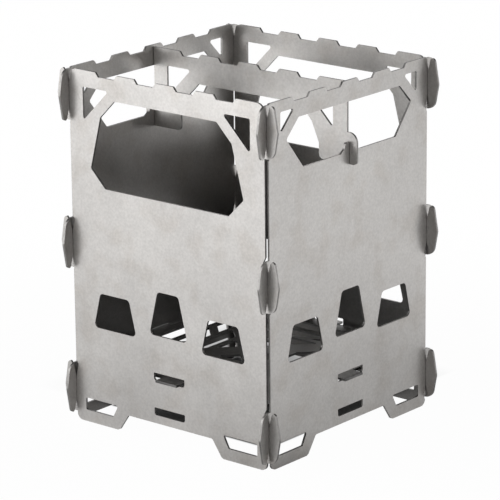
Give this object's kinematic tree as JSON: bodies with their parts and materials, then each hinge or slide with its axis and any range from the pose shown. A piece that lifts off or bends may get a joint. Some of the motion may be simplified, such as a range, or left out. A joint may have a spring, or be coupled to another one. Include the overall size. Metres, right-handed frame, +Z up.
{
  "type": "twig stove",
  "caption": "Square flat-pack twig stove of slotted sheet panels with a notched pot rim, a lift-off cross piece, air vents and a fire grate held in slots.",
  "frame": {"origin": "middle of the box at the level of the feet", "axes": "+Z up, -Y out of the front panel, +X out of the right panel, cross piece along X"},
  "size_m": [0.1224, 0.1224, 0.1594],
  "materials": {
    "panel_sheet": "satin bead-blasted titanium sheet",
    "cross_sheet": "satin bead-blasted titanium sheet",
    "grate_sheet": "satin bead-blasted titanium sheet"
  },
  "bodies": {
    "box": {"front_panel": "panel_sheet", "back_panel": "panel_sheet", "left_panel": "panel_sheet", "right_panel": "panel_sheet"},
    "pot_cross": {"cross_piece": "cross_sheet"},
    "fire_grate": {"grate": "grate_sheet"}
  },
  "joints": [
    {"name": "cross_lift", "type": "slide", "parent": "box", "child": "pot_cross", "axis": [0, 0, 1], "range_m": [0, 0.012]},
    {"name": "grate_play", "type": "slide", "parent": "box", "child": "fire_grate", "axis": [1, 0, 0], "range_m": [-0.0014, 0.0014]}
  ]
}
